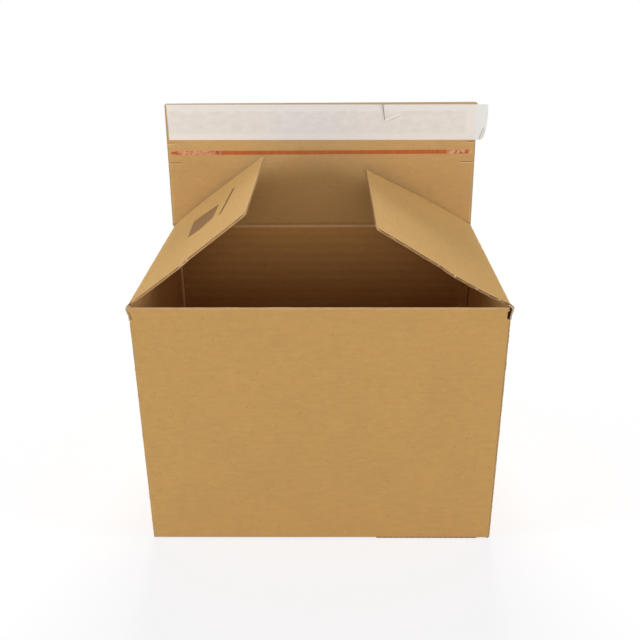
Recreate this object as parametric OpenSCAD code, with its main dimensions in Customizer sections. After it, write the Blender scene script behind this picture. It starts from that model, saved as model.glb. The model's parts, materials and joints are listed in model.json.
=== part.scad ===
// Self-seal shipping carton of corrugated board, standing open.
// One folded sheet makes the carton and its flaps; the rear flap is the lid,
// with an adhesive strip under a release liner and a tear tape below it.
// X runs along the front, Y from front to rear and Z up. The origin is the
// middle of the base, on the surface that the carton stands on.

/* [Carton] */
// Outside width, along the front
box_w = 310; // [260:1:420]
// Outside depth, from front to rear
box_d = 215; // [180:1:300]
// Height of the walls, from their bottom folds to the top creases
wall_h = 232; // [150:1:320]
// Radius of the outside fold at the four upright corners
corner_r = 1.8; // [1:0.1:2.4]
// Width that the pressed score inside an upright corner takes from each wall
corner_score_w = 4; // [3:0.1:6]
// Width of the glue lap inside the right wall, at the rear corner
lap_w = 34; // [25:1:45]
// Thickness of the pressed glue lap
lap_t = 2; // [1.5:0.1:2.4]
// Distance of the glue lap's ends from the crease and from the base
lap_inset = 14; // [12:1:30]
// Width of the seam outside the rear right corner, where the sheet's two ends meet
seam_w = 0.8; // [0.4:0.1:1.5]

/* [Board] */
// Thickness of the corrugated board
board_t = 2.5; // [2:0.1:4]
// Thickness of each facing paper
paper_t = 0.35; // [0.25:0.05:0.5]
// Thickness of the wavy paper between the facings
medium_t = 0.3; // [0.2:0.05:0.4]
// Distance from one flute to the next; the flutes run level
flute_pitch = 5.05; // [4:0.05:8]
// Depth of the washboard hollows that the flutes leave inside the walls
washboard_depth = 0.3; // [0.1:0.05:0.4]
// Height of one washboard hollow
washboard_w = 7; // [5:0.1:7.5]
// Distance from the top crease to the middle of the first hollow
washboard_top = 12; // [12:0.5:20]
// Plain board between the end of a hollow and the corner score
washboard_margin = 1; // [0.5:0.1:4]

/* [Top flaps] */
// Length of the lid and of the front flap, from crease to free edge
lid_len = 124; // [110:1:140]
// Length of the side flaps, from crease to free edge
side_flap_len = 126; // [80:1:128]
// Angle of the lid above the closed position
lid_rise = 93.6; // [91:0.1:120]
// Angle of the left flap above the closed position
left_rise = 37.1; // [5:0.1:80]
// Angle of the right flap above the closed position
right_rise = 29.7; // [5:0.1:80]
// Space between each half of a crease and the axis that it folds about
crease_gap = 0.3; // [0.2:0.05:0.5]
// Width of the board that a crease leaves crushed, past its bevel
crush_w = 2; // [1:0.5:4]
// Height of the bevel at the rear wall's crease
lid_bevel = 1.4; // [0.8:0.1:2]
// Angle at which the tucked front flap stands off the front wall
tuck_angle = 4; // [1:0.5:8]

/* [Corner slots] */
// Depth of each slot below the top crease
slot_depth = 11; // [6:0.5:20]
// Half of a slot, cut from the front or rear wall at the corner
slot_w = 3; // [2.6:0.1:5]
// Height over which a slot narrows at its mouth
slot_mouth_h = 3.5; // [2:0.5:6]
// Width left to a slot's half at its mouth
slot_mouth_w = 0.6; // [0.4:0.1:1.5]
// Space between the tucked front flap and the ends of the side flaps
front_clearance = 0.5; // [0.4:0.1:3]
// Space between the rear wall and the ends of the side flaps
rear_clearance = 1.1; // [0.8:0.1:4]
// Amount by which each side flap narrows at either end of its free edge
flap_taper = 6; // [0:0.5:12]
// Corner cut at the free edge of a flap
flap_corner_cut = 1.5; // [0.5:0.1:4]

/* [Seal] */
// Width of the release liner
liner_w = 34; // [28:0.5:36]
// Thickness of the release liner
liner_t = 0.25; // [0.15:0.05:0.4]
// Board left bare between the lid's free edge and the liner
liner_margin = 1.5; // [0.5:0.1:4]
// Distance from the liner's left end to the lid's side edge
liner_inset = 2; // [1:0.5:8]
// Length of liner that stands past the lid's right edge as a pull end
liner_pull = 12; // [6:0.5:20]
// Corner radius of the pull end
liner_corner_r = 4; // [1:0.5:8]
// Width of the adhesive strip
adhesive_w = 22; // [14:0.5:24]
// Thickness of the adhesive strip
adhesive_t = 0.2; // [0.1:0.05:0.3]
// Distance from each end of the adhesive strip to the lid's side edge
adhesive_inset = 10; // [5:0.5:20]

/* [Tear tape] */
// Width of the tear tape
tape_w = 4; // [2.5:0.1:5.5]
// Thickness of the tear tape
tape_t = 0.2; // [0.1:0.05:0.3]
// Distance from the lid's free edge to the middle of the tape
tape_from_edge = 48.5; // [44:0.5:56]
// Distance from each end of the tape to the lid's side edge
tape_inset = 3; // [2:0.5:6]
// Width of the finger tab between the two slits at each end of the tape
tab_w = 20; // [14:0.5:26]
// Length of the slit nearer the free edge
upper_slit_len = 8; // [5:0.5:20]
// Length of the slit nearer the crease
lower_slit_len = 14; // [5:0.5:20]
// Width of a slit
slit_w = 0.6; // [0.4:0.1:1]

/* [Base] */
// Thickness of the pressed glue flaps underneath
glue_flap_t = 1.8; // [1.2:0.1:2.4]
// Reach of a glue flap along the front or rear wall
glue_flap_reach = 104; // [80:1:106]
// Length of the straight free edge of a glue flap
glue_flap_edge = 78; // [50:1:100]
// Distance from a glue flap's far end to the next wall
glue_flap_end = 9; // [5:1:40]
// Width of the relief notch beside each glue flap's corner
relief_w = 10; // [6:0.5:14]
// Depth of that relief notch
relief_d = 6; // [4:0.5:10]
// Width of the middle of the base, which sags onto the surface
sag_w = 88; // [60:1:90]
// Depth of that sagging middle
sag_d = 150; // [80:1:170]
// Reach of the locking tongues past the middle of the base
tongue_reach = 28; // [20:1:40]
// Length of a locking tongue that lies on its own panel
tongue_root = 14; // [8:1:20]
// Slant at the outer end of a locking tongue
tongue_slant = 26; // [10:1:40]
// Distance from a locking tongue to the side wall
tongue_inset = 38; // [25:1:60]
// Space between the two main base panels, and between the tongues
lock_gap = 2; // [1:0.5:5]

/* [Hidden] */
$fn = 48;

kraft = [0.78, 0.62, 0.38];
liner_white = [0.9, 0.88, 0.85];
adhesive_clear = [0.85, 0.84, 0.78];
tape_red = [0.72, 0.33, 0.16];

// Overshoot of a cut past the face that it opens
over = 1;
// Level of the top creases, which the flaps turn about
crease_z = glue_flap_t + wall_h;
// Level of the base panels' upper face, inside the carton
floor_z = glue_flap_t + board_t;
// Space between the front wall and the root of the tucked flap
tuck_gap = 0.3;
// Outside radius of the fold that tucks the front flap in
tuck_r = board_t + tuck_gap / 2;
// Distance from the tucked flap's ends to the outside of the side walls, past the corner scores
tuck_end = board_t + corner_score_w;
// Cut from the side walls and side flaps at the front, behind the tucked fold
side_front_cut = 2 * tuck_r + front_clearance;
// Cut from the side walls and side flaps at the rear
side_rear_cut = board_t + rear_clearance;
// Half of the height of the wave that the middle paper makes
wave_h = board_t / 2 - paper_t - medium_t / 2;
// Share of a flute, each way from its middle, that is open
flute_open = 0.4;
// Steps from the middle of a flute to its end
flute_steps = 4;
// Solid board that a crease leaves crushed at the root of a flap
crushed_root = board_t + crush_w;
// Distance from a hollow's end to the outside of the next wall
washboard_end = board_t + corner_score_w + washboard_margin;
// Spacing of the washboard hollows: every second flute shows
washboard_pitch = 2 * flute_pitch;
// Radius of a washboard hollow
washboard_r = (pow(washboard_w / 2, 2) + pow(washboard_depth, 2)) / (2 * washboard_depth);

// Rectangle with round corners, about the origin
module rounded_rect(w, d, r) {
  square([w - 2 * r, d], center = true);
  square([w, d - 2 * r], center = true);
  for (x = [-1, 1], y = [-1, 1])
    translate([x * (w / 2 - r), y * (d / 2 - r)]) circle(r);
}

// Outline of the space inside the walls, its corners cut by the upright scores
module inner_outline() {
  w = box_w / 2 - board_t;
  d = box_d / 2 - board_t;
  c = corner_score_w;
  polygon([
    [-w + c, -d], [w - c, -d], [w, -d + c], [w, d - c],
    [w - c, d], [-w + c, d], [-w, d - c], [-w, -d + c]
  ]);
}

// The four walls as one folded band
module wall_band() {
  translate([0, 0, glue_flap_t])
    linear_extrude(wall_h)
      difference() {
        rounded_rect(box_w, box_d, corner_r);
        inner_outline();
      }
}

// Bevel along the top of a wall, in the XZ plane with the wall's outer top edge at the origin
// and the inside of the carton towards +X
module crease_bevel(size, length) {
  rotate([90, 0, 0])
    linear_extrude(length, center = true)
      polygon([[0, 0], [board_t + over, -size * (board_t + over) / board_t], [board_t + over, over], [0, over]]);
}

// Slots at the four upright corners, open at the top and narrower at the mouth.
// The corner scores end below them.
module corner_slots() {
  for (x = [-1, 1], y = [-1, 1]) {
    cut = y < 0 ? side_front_cut : side_rear_cut;
    translate([x * box_w / 2, y * (box_d / 2 - cut / 2 + over / 2), crease_z])
      rotate([90, 0, 0])
        linear_extrude(cut + over, center = true)
          polygon([
            [x * over, -slot_depth], [-x * slot_w, -slot_depth], [-x * slot_w, -slot_mouth_h],
            [-x * slot_mouth_w, 0], [-x * slot_mouth_w, over], [x * over, over]
          ]);
    mirror([x < 0 ? 1 : 0, 0, 0]) mirror([0, y < 0 ? 1 : 0, 0])
      translate([box_w / 2 - board_t - corner_score_w, box_d / 2 - board_t - corner_score_w, crease_z - slot_depth])
        cube([corner_score_w, corner_score_w, slot_depth + over]);
  }
}

// Washboard hollows, level with one another, on the inside of a wall along X
module washboard(length) {
  count = floor((wall_h - washboard_top - washboard_pitch) / washboard_pitch);
  for (i = [0:count])
    translate([0, washboard_depth - washboard_r, crease_z - washboard_top - i * washboard_pitch])
      rotate([0, 90, 0]) cylinder(h = length, r = washboard_r, center = true, $fn = 96);
}

// Puts a section, drawn inwards from the tucked fold's middle, along the front wall
module along_tuck(length) {
  translate([0, -box_d / 2 + tuck_r, crease_z - tuck_r])
    rotate([90, 0, 90]) linear_extrude(length, center = true) children();
}

// Round fold over the front wall's top, open below where the flap leaves the wall
module tuck_fold() {
  along_tuck(box_w)
    difference() {
      circle(tuck_r);
      translate([-tuck_gap / 2, -tuck_r - over]) square([tuck_gap, tuck_r + over]);
    }
}

// Front flap, hanging from that fold inside the front wall
module tucked_flap() {
  along_tuck(box_w - 2 * tuck_end)
    rotate(tuck_angle)
      translate([tuck_gap / 2, tuck_r - lid_len]) square([board_t, lid_len - tuck_r]);
}

// End of the sheet, glued inside the right wall
module glue_lap() {
  // The lap is pressed into the washboard hollows
  translate([box_w / 2 - board_t - lap_t, box_d / 2 - board_t - lap_w, glue_flap_t + lap_inset])
    cube([lap_t + washboard_depth, lap_w, wall_h - 2 * lap_inset]);
}

// Groove outside the rear right corner, between the right wall's raw edge and the rear fold
module seam() {
  translate([box_w / 2 - board_t / 2, box_d / 2 - board_t - seam_w, glue_flap_t - over])
    cube([board_t, seam_w, wall_h + 2 * over]);
}

// Glue flap under the base, folded in from the right wall and fixed under the front panel
module glue_flap() {
  x = box_w / 2;
  y = box_d / 2;
  notch = x - board_t;
  linear_extrude(glue_flap_t)
    polygon([
      [x, -y + corner_r],
      [x - corner_r, -y + corner_r / 2],
      [notch, -y + corner_r / 2],
      [notch, -y + relief_d],
      [notch - relief_w, -y + corner_r / 2],
      [x - glue_flap_reach, -y + corner_r / 2],
      [x - glue_flap_reach, -y + glue_flap_edge],
      [notch, y - glue_flap_end],
      [x, y - glue_flap_end]
    ]);
}

// Main base panel from the front wall. Its middle sags, and its tongue lies over the rear panel.
module base_panel() {
  inner_w = box_w / 2 - board_t;
  translate([-inner_w, -box_d / 2 + corner_r, glue_flap_t])
    cube([2 * inner_w, box_d / 2 - corner_r - lock_gap / 2, board_t]);
  translate([-sag_w / 2, -sag_d / 2, 0]) cube([sag_w, sag_d / 2 - lock_gap / 2, glue_flap_t]);
  translate([0, 0, floor_z])
    linear_extrude(board_t)
      polygon([
        [-inner_w + tongue_inset, -tongue_root],
        [-lock_gap / 2, -tongue_root],
        [-lock_gap / 2, tongue_reach],
        [-inner_w + tongue_inset + tongue_slant, tongue_reach]
      ]);
}

module carton() {
  color(kraft)
    union() {
      difference() {
        union() {
          difference() {
            wall_band();
            // The tucked fold takes the place of the front wall's top
            translate([0, -box_d / 2, crease_z]) cube([2 * box_w, 2 * side_front_cut, 2 * tuck_r], center = true);
          }
          tuck_fold();
        }
        corner_slots();
        seam();
        // Bevels that the side flaps close on, and the shallower one at the lid
        for (side = [0, 1])
          mirror([side, 0, 0])
            translate([-box_w / 2, (side_front_cut + over) / 2, crease_z])
              crease_bevel(board_t, box_d - side_front_cut + over);
        translate([0, box_d / 2, crease_z]) rotate(-90) crease_bevel(lid_bevel, box_w - 2 * board_t);
        translate([0, box_d / 2 - board_t, 0]) washboard(box_w - 2 * washboard_end);
        for (x = [-1, 1])
          translate([x * (box_w / 2 - board_t), 0, 0])
            rotate(-90 * x) washboard(box_d - 2 * washboard_end);
      }
      tucked_flap();
      glue_lap();
      for (a = [0, 180]) rotate(a) {
        glue_flap();
        base_panel();
      }
    }
}

// One opening of a flute in section, against the inner facing, from its middle
module flute_opening() {
  reach = flute_open * flute_pitch;
  wave = [for (i = [-flute_steps:flute_steps])
    let (s = i / flute_steps * reach) [s, wave_h * (1 + cos(360 * s / flute_pitch))]];
  polygon(concat([[reach, 0], [-reach, 0]], wave));
}

// Section of a flap: +X from the crease to the free edge, outer facing at the top.
// The flutes run along the crease, so the section cuts across them, and the root
// is bevelled by half of the fold.
module flap_section(len, bevel) {
  openings = floor((len - crushed_root) / (flute_pitch / 2) - 2 * flute_open);
  difference() {
    polygon([[crease_gap, 0], [len, 0], [len, -board_t], [crease_gap + bevel, -board_t]]);
    for (k = [0:openings])
      translate([len - k * flute_pitch / 2, k % 2 == 0 ? -board_t + paper_t : -paper_t])
        mirror([0, k % 2, 0]) flute_opening();
  }
}

// Corrugated panel of that section, w long on its crease
module flap_board(len, w, bevel) {
  rotate([90, 0, 0]) linear_extrude(w, center = true) flap_section(len, bevel);
}

// Moves a flap, drawn flat from its crease along +X, to a wall's top crease.
// turn points it inwards, and rise lifts it from the closed position.
module at_crease(x, y, turn, rise) {
  translate([x, y, crease_z]) rotate([0, -rise, turn]) children();
}

// Side flap with tapered ends. front is the side, in its own Y, of the front corner.
module side_flap(front) {
  near = front * (box_d / 2 - side_front_cut);
  far = -front * (box_d / 2 - side_rear_cut);
  l = side_flap_len;
  c = flap_corner_cut;
  intersection() {
    flap_board(l, box_d, board_t);
    translate([0, 0, -board_t - over])
      linear_extrude(board_t + 2 * over)
        polygon([
          [0, near], [l - c, near - front * flap_taper], [l, near - front * (flap_taper + c)],
          [l, far + front * (flap_taper + c)], [l - c, far + front * flap_taper], [0, far]
        ]);
  }
}

module left_flap() {
  color(kraft) at_crease(-box_w / 2, 0, 0, left_rise) side_flap(-1);
}

module right_flap() {
  color(kraft) at_crease(box_w / 2, 0, 180, right_rise) side_flap(1);
}

// Place of the lid. In it, +X runs from the crease to the free edge, +Y to the
// carton's right, and the inner face is at -board_t.
module at_lid() {
  at_crease(0, box_d / 2, -90, lid_rise) children();
}

// Slits beside the tape's ends, from the lid's side edge at y inwards
module tab_slits(side) {
  for (s = [-1, 1]) {
    len = s > 0 ? upper_slit_len : lower_slit_len;
    translate([lid_len - tape_from_edge + s * tab_w / 2, side * (box_w / 2 - len / 2 + over / 2), -board_t / 2])
      cube([slit_w, len + over, board_t + 2 * over], center = true);
  }
}

module lid() {
  color(kraft)
    at_lid()
      difference() {
        flap_board(lid_len, box_w, lid_bevel);
        for (side = [-1, 1]) {
          tab_slits(side);
          translate([lid_len, side * box_w / 2, -board_t / 2])
            rotate(45) cube([flap_corner_cut * sqrt(2), flap_corner_cut * sqrt(2), board_t + 2 * over], center = true);
        }
      }
}

module adhesive_strip() {
  color(adhesive_clear)
    at_lid()
      translate([lid_len - liner_margin - liner_w / 2, 0, -board_t - adhesive_t / 2])
        cube([adhesive_w, box_w - 2 * adhesive_inset, adhesive_t], center = true);
}

module release_liner() {
  left = -box_w / 2 + liner_inset;
  right = box_w / 2 + liner_pull;
  r = liner_corner_r;
  color(liner_white)
    at_lid()
      translate([lid_len - liner_margin - liner_w, 0, -board_t - adhesive_t - liner_t])
        linear_extrude(liner_t)
          union() {
            translate([0, left]) square([liner_w, right - left - r]);
            translate([r, left]) square([liner_w - r, right - left]);
            translate([r, right - r]) circle(r);
          }
}

module tear_tape() {
  color(tape_red)
    at_lid()
      translate([lid_len - tape_from_edge, 0, -board_t - tape_t / 2])
        cube([tape_w, box_w - 2 * tape_inset, tape_t], center = true);
}

carton();
left_flap();
right_flap();
lid();
adhesive_strip();
release_liner();
tear_tape();
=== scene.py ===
import json
import math

import bmesh
import bpy
import numpy as np
from mathutils import Matrix, Vector


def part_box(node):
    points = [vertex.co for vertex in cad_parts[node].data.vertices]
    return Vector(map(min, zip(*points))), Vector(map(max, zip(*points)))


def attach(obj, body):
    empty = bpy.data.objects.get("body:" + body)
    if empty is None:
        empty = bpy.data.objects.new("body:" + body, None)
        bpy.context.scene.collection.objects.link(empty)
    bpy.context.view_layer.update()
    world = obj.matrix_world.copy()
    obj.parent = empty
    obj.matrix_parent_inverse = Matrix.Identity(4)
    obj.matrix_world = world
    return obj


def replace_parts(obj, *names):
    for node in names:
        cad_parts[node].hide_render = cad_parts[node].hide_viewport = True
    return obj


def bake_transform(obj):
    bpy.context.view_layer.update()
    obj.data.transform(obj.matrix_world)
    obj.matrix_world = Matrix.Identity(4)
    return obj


# The carton's paper, board and light. Lengths are in millimetres until a piece is made.
MM = 0.001
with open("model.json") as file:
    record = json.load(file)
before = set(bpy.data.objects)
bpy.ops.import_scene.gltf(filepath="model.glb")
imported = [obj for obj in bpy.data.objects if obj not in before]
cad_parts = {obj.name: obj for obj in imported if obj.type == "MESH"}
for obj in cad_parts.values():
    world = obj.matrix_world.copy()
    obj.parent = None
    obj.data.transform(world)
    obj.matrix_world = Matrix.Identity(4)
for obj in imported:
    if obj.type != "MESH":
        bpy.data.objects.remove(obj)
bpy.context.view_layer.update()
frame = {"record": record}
LOW, HIGH = (np.array(corner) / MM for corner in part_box("carton"))
BOX_W = HIGH[0] - LOW[0]
BOX_D = HIGH[1] - LOW[1]
CREASE_Z = HIGH[2]
HALF_W = BOX_W / 2
HALF_D = BOX_D / 2

# Sizes that the frame doesn't tell, as the part's source has them
BOARD = 2.5
PAPER = 0.35
MEDIUM = 0.3
FLUTE = 5.05
CORNER_R = 1.8
SCORE = 4
GLUE_FLAP = 1.8
FLOOR_Z = GLUE_FLAP + BOARD
LID_LEN = 124
FLAP_LEN = 126
SLOT_BOTTOM = CREASE_Z - 11
FRONT_CUT = 5.8
REAR_CUT = 3.6
FOLD_R = 2.65
TUCK_ANGLE = math.radians(4)
OPEN_LIMIT = 268
CREASE = 3
LID_EDGE_TO_TAPE = 48.5
TAPE_U = LID_LEN - LID_EDGE_TO_TAPE
# Slits above and below the tape: how far from it and how long, and half their width
SLITS = ((10, 8), (-10, 14))
SLIT_HALF = 0.08
LINER_W = 34.6
# Height of the lowest points over the floor
CLEAR = 0.02
# The lid's left and right ends on the unfolded board
LID_LEFT = -HALF_W - BOX_D
LID_RIGHT = LID_LEFT - BOX_W

# Light: slightly cool from the sides, warm from in front and all round
SIDE_LIGHT = (0.92, 1.0, 1.06)
FILL_LIGHT = (1.0, 0.89, 0.78)
SOFT_LIGHT = (1.0, 0.98, 0.95)


# Shapes of numbers

def smooth(t):
    """0 to 1 with soft ends."""
    t = np.clip(t, 0, 1)
    return t * t * (3 - 2 * t)


def between(value, low, high, soft):
    """1 between low and high, falling to 0 over a soft width outside."""
    return smooth((value - low) / soft + 1) * smooth((high - value) / soft + 1)


def waves(a, b, size, seed=0):
    """Repeatable unevenness, mostly between -1 and 1, with features about size across."""
    total = 0
    for k in range(5):
        turn = seed + 2.4 * k
        rate = 2 * math.pi / size * (0.7 + 0.15 * k)
        total = total + np.sin(rate * (a * math.cos(turn) + b * math.sin(turn)) + 1.3 * (k + 1) * (seed + 1))
    return total / 2.5


def stations(start, end, step, *extra):
    """Even stations from start to end, with the extra ones among them."""
    count = max(1, round(abs(end - start) / step))
    even = np.linspace(start, end, count + 1)
    clear = [x for x in even[1:-1] if all(abs(x - e) > 0.3 * step for e in extra)]
    inside = [e for e in extra if min(start, end) < e < max(start, end)]
    return np.array(sorted([start, end] + clear + inside, reverse=end < start))


def close_set(start, end, step, edge):
    """Even stations with closer ones near both ends, which are crushed."""
    near = [0.4, 0.9, 1.6, 2.6, 4.2]
    sign = 1 if end > start else -1
    ends = [start + sign * d for d in near] + [end - sign * d for d in near]
    return stations(start, end, step, *ends, *edge)


# Sheets of board and paper

def shell(front, back, s, z, depth=(0, 1), keep=None):
    """Closed sheet between two grids of points, with a rim wherever a kept cell has no neighbour.
    s and z are its place on the unfolded board, and depth runs through it from face to face."""
    rows, cols = front.shape[:2]
    count = rows * cols
    number = np.arange(count).reshape(rows, cols)
    if keep is None:
        keep = np.ones((rows - 1, cols - 1), bool)
    a, b, c, d = number[:-1, :-1], number[1:, :-1], number[1:, 1:], number[:-1, 1:]
    cells = np.stack([a, b, c, d], -1)[keep]
    faces = [cells, cells[:, ::-1] + count]
    beside = np.pad(keep, 1)
    sides = (
        (a, b, beside[1:-1, :-2]),
        (b, c, beside[2:, 1:-1]),
        (c, d, beside[1:-1, 2:]),
        (d, a, beside[:-2, 1:-1]),
    )
    for first, second, neighbour in sides:
        edge = keep & ~neighbour
        faces.append(np.stack([second[edge], first[edge], first[edge] + count, second[edge] + count], -1))
    points = np.concatenate([front.reshape(-1, 3), back.reshape(-1, 3)])
    s = np.broadcast_to(s, (rows, cols)).ravel() * MM
    z = np.broadcast_to(z, (rows, cols)).ravel() * MM
    sheet = np.concatenate([np.stack([s, z, np.full(count, side)], -1) for side in depth])
    return points, sheet, np.concatenate(faces)


def piece(name, shells, material, body=None, place=np.eye(4)):
    """One object from shells, moved to its place in the frame."""
    starts = np.cumsum([0] + [len(points) for points, _, _ in shells])
    faces = np.concatenate([quads + start for (_, _, quads), start in zip(shells, starts)])
    used, faces = np.unique(faces, return_inverse=True)
    faces = faces.reshape(-1, 4)
    points = np.concatenate([points for points, _, _ in shells])[used]
    sheet = np.concatenate([coords for _, coords, _ in shells])[used]
    points = points @ place[:3, :3].T + place[:3, 3]
    mesh = bpy.data.meshes.new(name)
    mesh.from_pydata((points * MM).tolist(), [], faces.tolist())
    mesh.attributes.new("sheet", "FLOAT_VECTOR", "POINT").data.foreach_set("vector", sheet.ravel())
    turn_outwards(mesh)
    mesh.shade_smooth()
    mesh.set_sharp_from_angle(angle=math.radians(32))
    mesh.materials.append(material)
    made = add_object(name, mesh)
    if body:
        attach(made, body)
    return made


def add_object(name, data):
    """New object in the scene."""
    made = bpy.data.objects.new(name, data)
    bpy.context.scene.collection.objects.link(made)
    return made


def turn_outwards(mesh):
    """Makes every face of the mesh look outwards."""
    work = bmesh.new()
    work.from_mesh(mesh)
    bmesh.ops.recalc_face_normals(work, faces=work.faces)
    work.to_mesh(mesh)
    work.free()


def grid(x, y, z):
    """Points from three arrays that fit one grid."""
    return np.stack(np.broadcast_arrays(x, y, z), -1).astype(float)


def at_crease(x, y, turn, rise):
    """Place of a flap: X from the crease to the free edge, Y along it, Z out of the outer face."""
    place = Matrix.Translation((x, y, CREASE_Z))
    place = place @ Matrix.Rotation(math.radians(turn), 4, "Z")
    return np.array(place @ Matrix.Rotation(math.radians(-rise), 4, "Y"))


# Walls

def wall_path():
    """Stations round the walls, from the right wall's rear edge over the front to the seam."""
    inner_x = HALF_W - CORNER_R
    inner_y = HALF_D - CORNER_R
    rear_gap = 3.3
    slot_x = HALF_W - 3
    slot_ys = (-HALF_D + FRONT_CUT, HALF_D - REAR_CUT)
    points = [(HALF_W, y, 0) for y in stations(HALF_D - rear_gap, -inner_y, 6, *slot_ys)]
    points += corner(inner_x, -inner_y, 0, -90)
    points += [(x, -HALF_D, -90) for x in stations(inner_x, -inner_x, 6, slot_x, -slot_x)]
    points += corner(-inner_x, -inner_y, -90, -180)
    points += [(-HALF_W, y, 180) for y in stations(-inner_y, inner_y, 6, *slot_ys)]
    points += corner(-inner_x, inner_y, 180, 90)
    points += [(x, HALF_D, 90) for x in stations(-inner_x, inner_x, 6, slot_x, -slot_x)]
    points += corner(inner_x, inner_y, 90, 0)
    points.append((HALF_W, HALF_D - BOARD, 0))
    x, y, turn = np.array(points).T
    steps = np.hypot(np.diff(x), np.diff(y))
    s = HALF_W + BOX_D - rear_gap - np.concatenate([[0], np.cumsum(steps)])
    return x, y, np.radians(turn), s


def corner(x, y, start, end):
    """Stations round an upright fold, between those of its two walls."""
    points = []
    for turn in np.linspace(start, end, 7)[1:-1]:
        angle = math.radians(turn)
        points.append((x + CORNER_R * math.cos(angle), y + CORNER_R * math.sin(angle), turn))
    return points


def lean(side, y, z):
    """How far a side wall leans out of its plane, most of it along the top crease."""
    low = np.where(side < 0, 0.4, 0.7) * smooth((6 - HALF_D - y) / 5)
    top = np.where(side < 0, 0.65 - 1.55 * y / HALF_D, 1.1)
    return low + (top - low) * smooth((z - CREASE_Z + 10) / 10)


def washboard(z, s, seed):
    """Depth of the hollows that every second flute leaves on the inner face."""
    height = CREASE_Z - 12 - z
    off = np.abs((height + FLUTE) % (2 * FLUTE) - FLUTE)
    hollow = np.cos(math.pi / 2 * np.clip(off / 3.9, 0, 1)) ** 2
    band = smooth((height + 5) / 4) * smooth((208 - height) / 6)
    uneven = 0.75 + 0.35 * waves(s, height, 90, seed) + 0.2 * waves(s, height * 0.3, 23, seed + 2)
    return 0.38 * hollow * band * np.clip(uneven, 0.2, 1.4)


def wall_bow(x, y, z, s, out_x, out_y):
    """How far the walls stand out of their planes."""
    along = np.where(np.abs(out_y) > np.abs(out_x), x / HALF_W, y / HALF_D)
    middle = np.clip(1 - along ** 2, 0, 1)
    upward = np.clip((z - GLUE_FLAP) / (CREASE_Z - GLUE_FLAP), 0, 1)
    bulge = np.where(out_y < -0.7, 0.55, -0.5)
    bow = bulge * middle * np.sin(math.pi * upward) ** 0.8 + 0.12 * middle * waves(s, z, 120, 1)
    return bow + np.abs(out_x) * lean(np.sign(x), y, z)


def wall_cells(s, z):
    """Cells of the walls that the slots at the corners leave."""
    middle_s = (s[1:] + s[:-1]) / 2
    upper = (z[:, 1:] + z[:, :-1]) / 2 > SLOT_BOTTOM
    side_end = HALF_W + BOX_D - REAR_CUT
    cut = np.abs(middle_s) < HALF_W + FRONT_CUT
    cut = cut | (middle_s > side_end) | (middle_s < -side_end) & (middle_s > LID_LEFT - 3)
    cut = cut | (middle_s < LID_RIGHT + 3)
    return ~(cut & upper)


def wall_ring():
    """The four walls up to their top creases."""
    x, y, turn, s = wall_path()
    foot_z = 0.8
    foot_rows = [foot_z + rise for rise in (0, 0.15, 0.5, 1, 1.7, 2.7)]
    rows = stations(GLUE_FLAP + 3, SLOT_BOTTOM, FLUTE / 4)
    z = np.concatenate([foot_rows, rows, stations(SLOT_BOTTOM, CREASE_Z - CREASE, 1.3)[1:]])
    x, y, turn, s, z = x[:, None], y[:, None], turn[:, None], s[:, None], z[None, :]
    out_x, out_y = np.cos(turn), np.sin(turn)
    at_corner = between(np.abs(out_x * out_y), 0.2, 1, 0.15)
    ripple = 0.03 * np.cos(2 * math.pi * z / FLUTE)
    knock = at_corner * (0.1 * np.cos(2 * math.pi * z / FLUTE) + 0.16 * waves(z, s, 17, 3) - 0.1)
    under = 1.5 * between(np.abs(out_y), 0.9, 1, 0.3) + 0.3
    foot = under - np.sqrt(np.clip(under ** 2 - np.maximum(under - (z - foot_z), 0) ** 2, 0, None))
    bow = wall_bow(x, y, z, s, out_x, out_y)
    outer = bow + ripple + knock - foot
    front = grid(x + out_x * outer, y + out_y * outer, z)
    inner_x = np.clip(x - out_x * BOARD, BOARD - HALF_W, HALF_W - BOARD)
    inner_y = np.clip(y - out_y * BOARD, BOARD - HALF_D, HALF_D - BOARD)
    over = np.abs(inner_x) + np.abs(inner_y) - (HALF_W + HALF_D - 2 * BOARD - SCORE)
    score = np.maximum(over, 0) / 2 * smooth((SLOT_BOTTOM - z) / 2)
    inner_x = inner_x - np.sign(inner_x) * score
    inner_y = inner_y - np.sign(inner_y) * score
    away = smooth((HALF_W - SCORE - BOARD - np.abs(x)) / 6 + (np.abs(out_y) < 0.9))
    away = away * smooth((HALF_D - SCORE - BOARD - np.abs(y)) / 6 + (np.abs(out_x) < 0.9))
    relief = washboard(z, s, 5) * away * (out_y > -0.9)
    back = grid(inner_x + out_x * (bow + relief), inner_y + out_y * (bow + relief), z + 0 * x)
    return shell(front, back, s, z, keep=wall_cells(s, z))


def glue_lap():
    """End of the sheet, glued inside the right wall at the rear."""
    y = stations(HALF_D - BOARD - 34, HALF_D - 1, 4)[:, None]
    z = stations(GLUE_FLAP + 14, CREASE_Z - 14, FLUTE / 4)[None, :]
    hill = 0.25 * waves(z, y, 60, 4)
    ripple = 0.12 * np.cos(math.pi * z / FLUTE + 1)
    wall = HALF_W - BOARD + 0.3 + lean(1, y, z)
    free = wall - 2.3 + ripple + 0.3 * smooth((HALF_D - 32 - y) / 4) + hill * 0.3
    s = LID_RIGHT - (HALF_D - y)
    return shell(grid(wall, y, z), grid(free, y, z), s, z)


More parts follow.
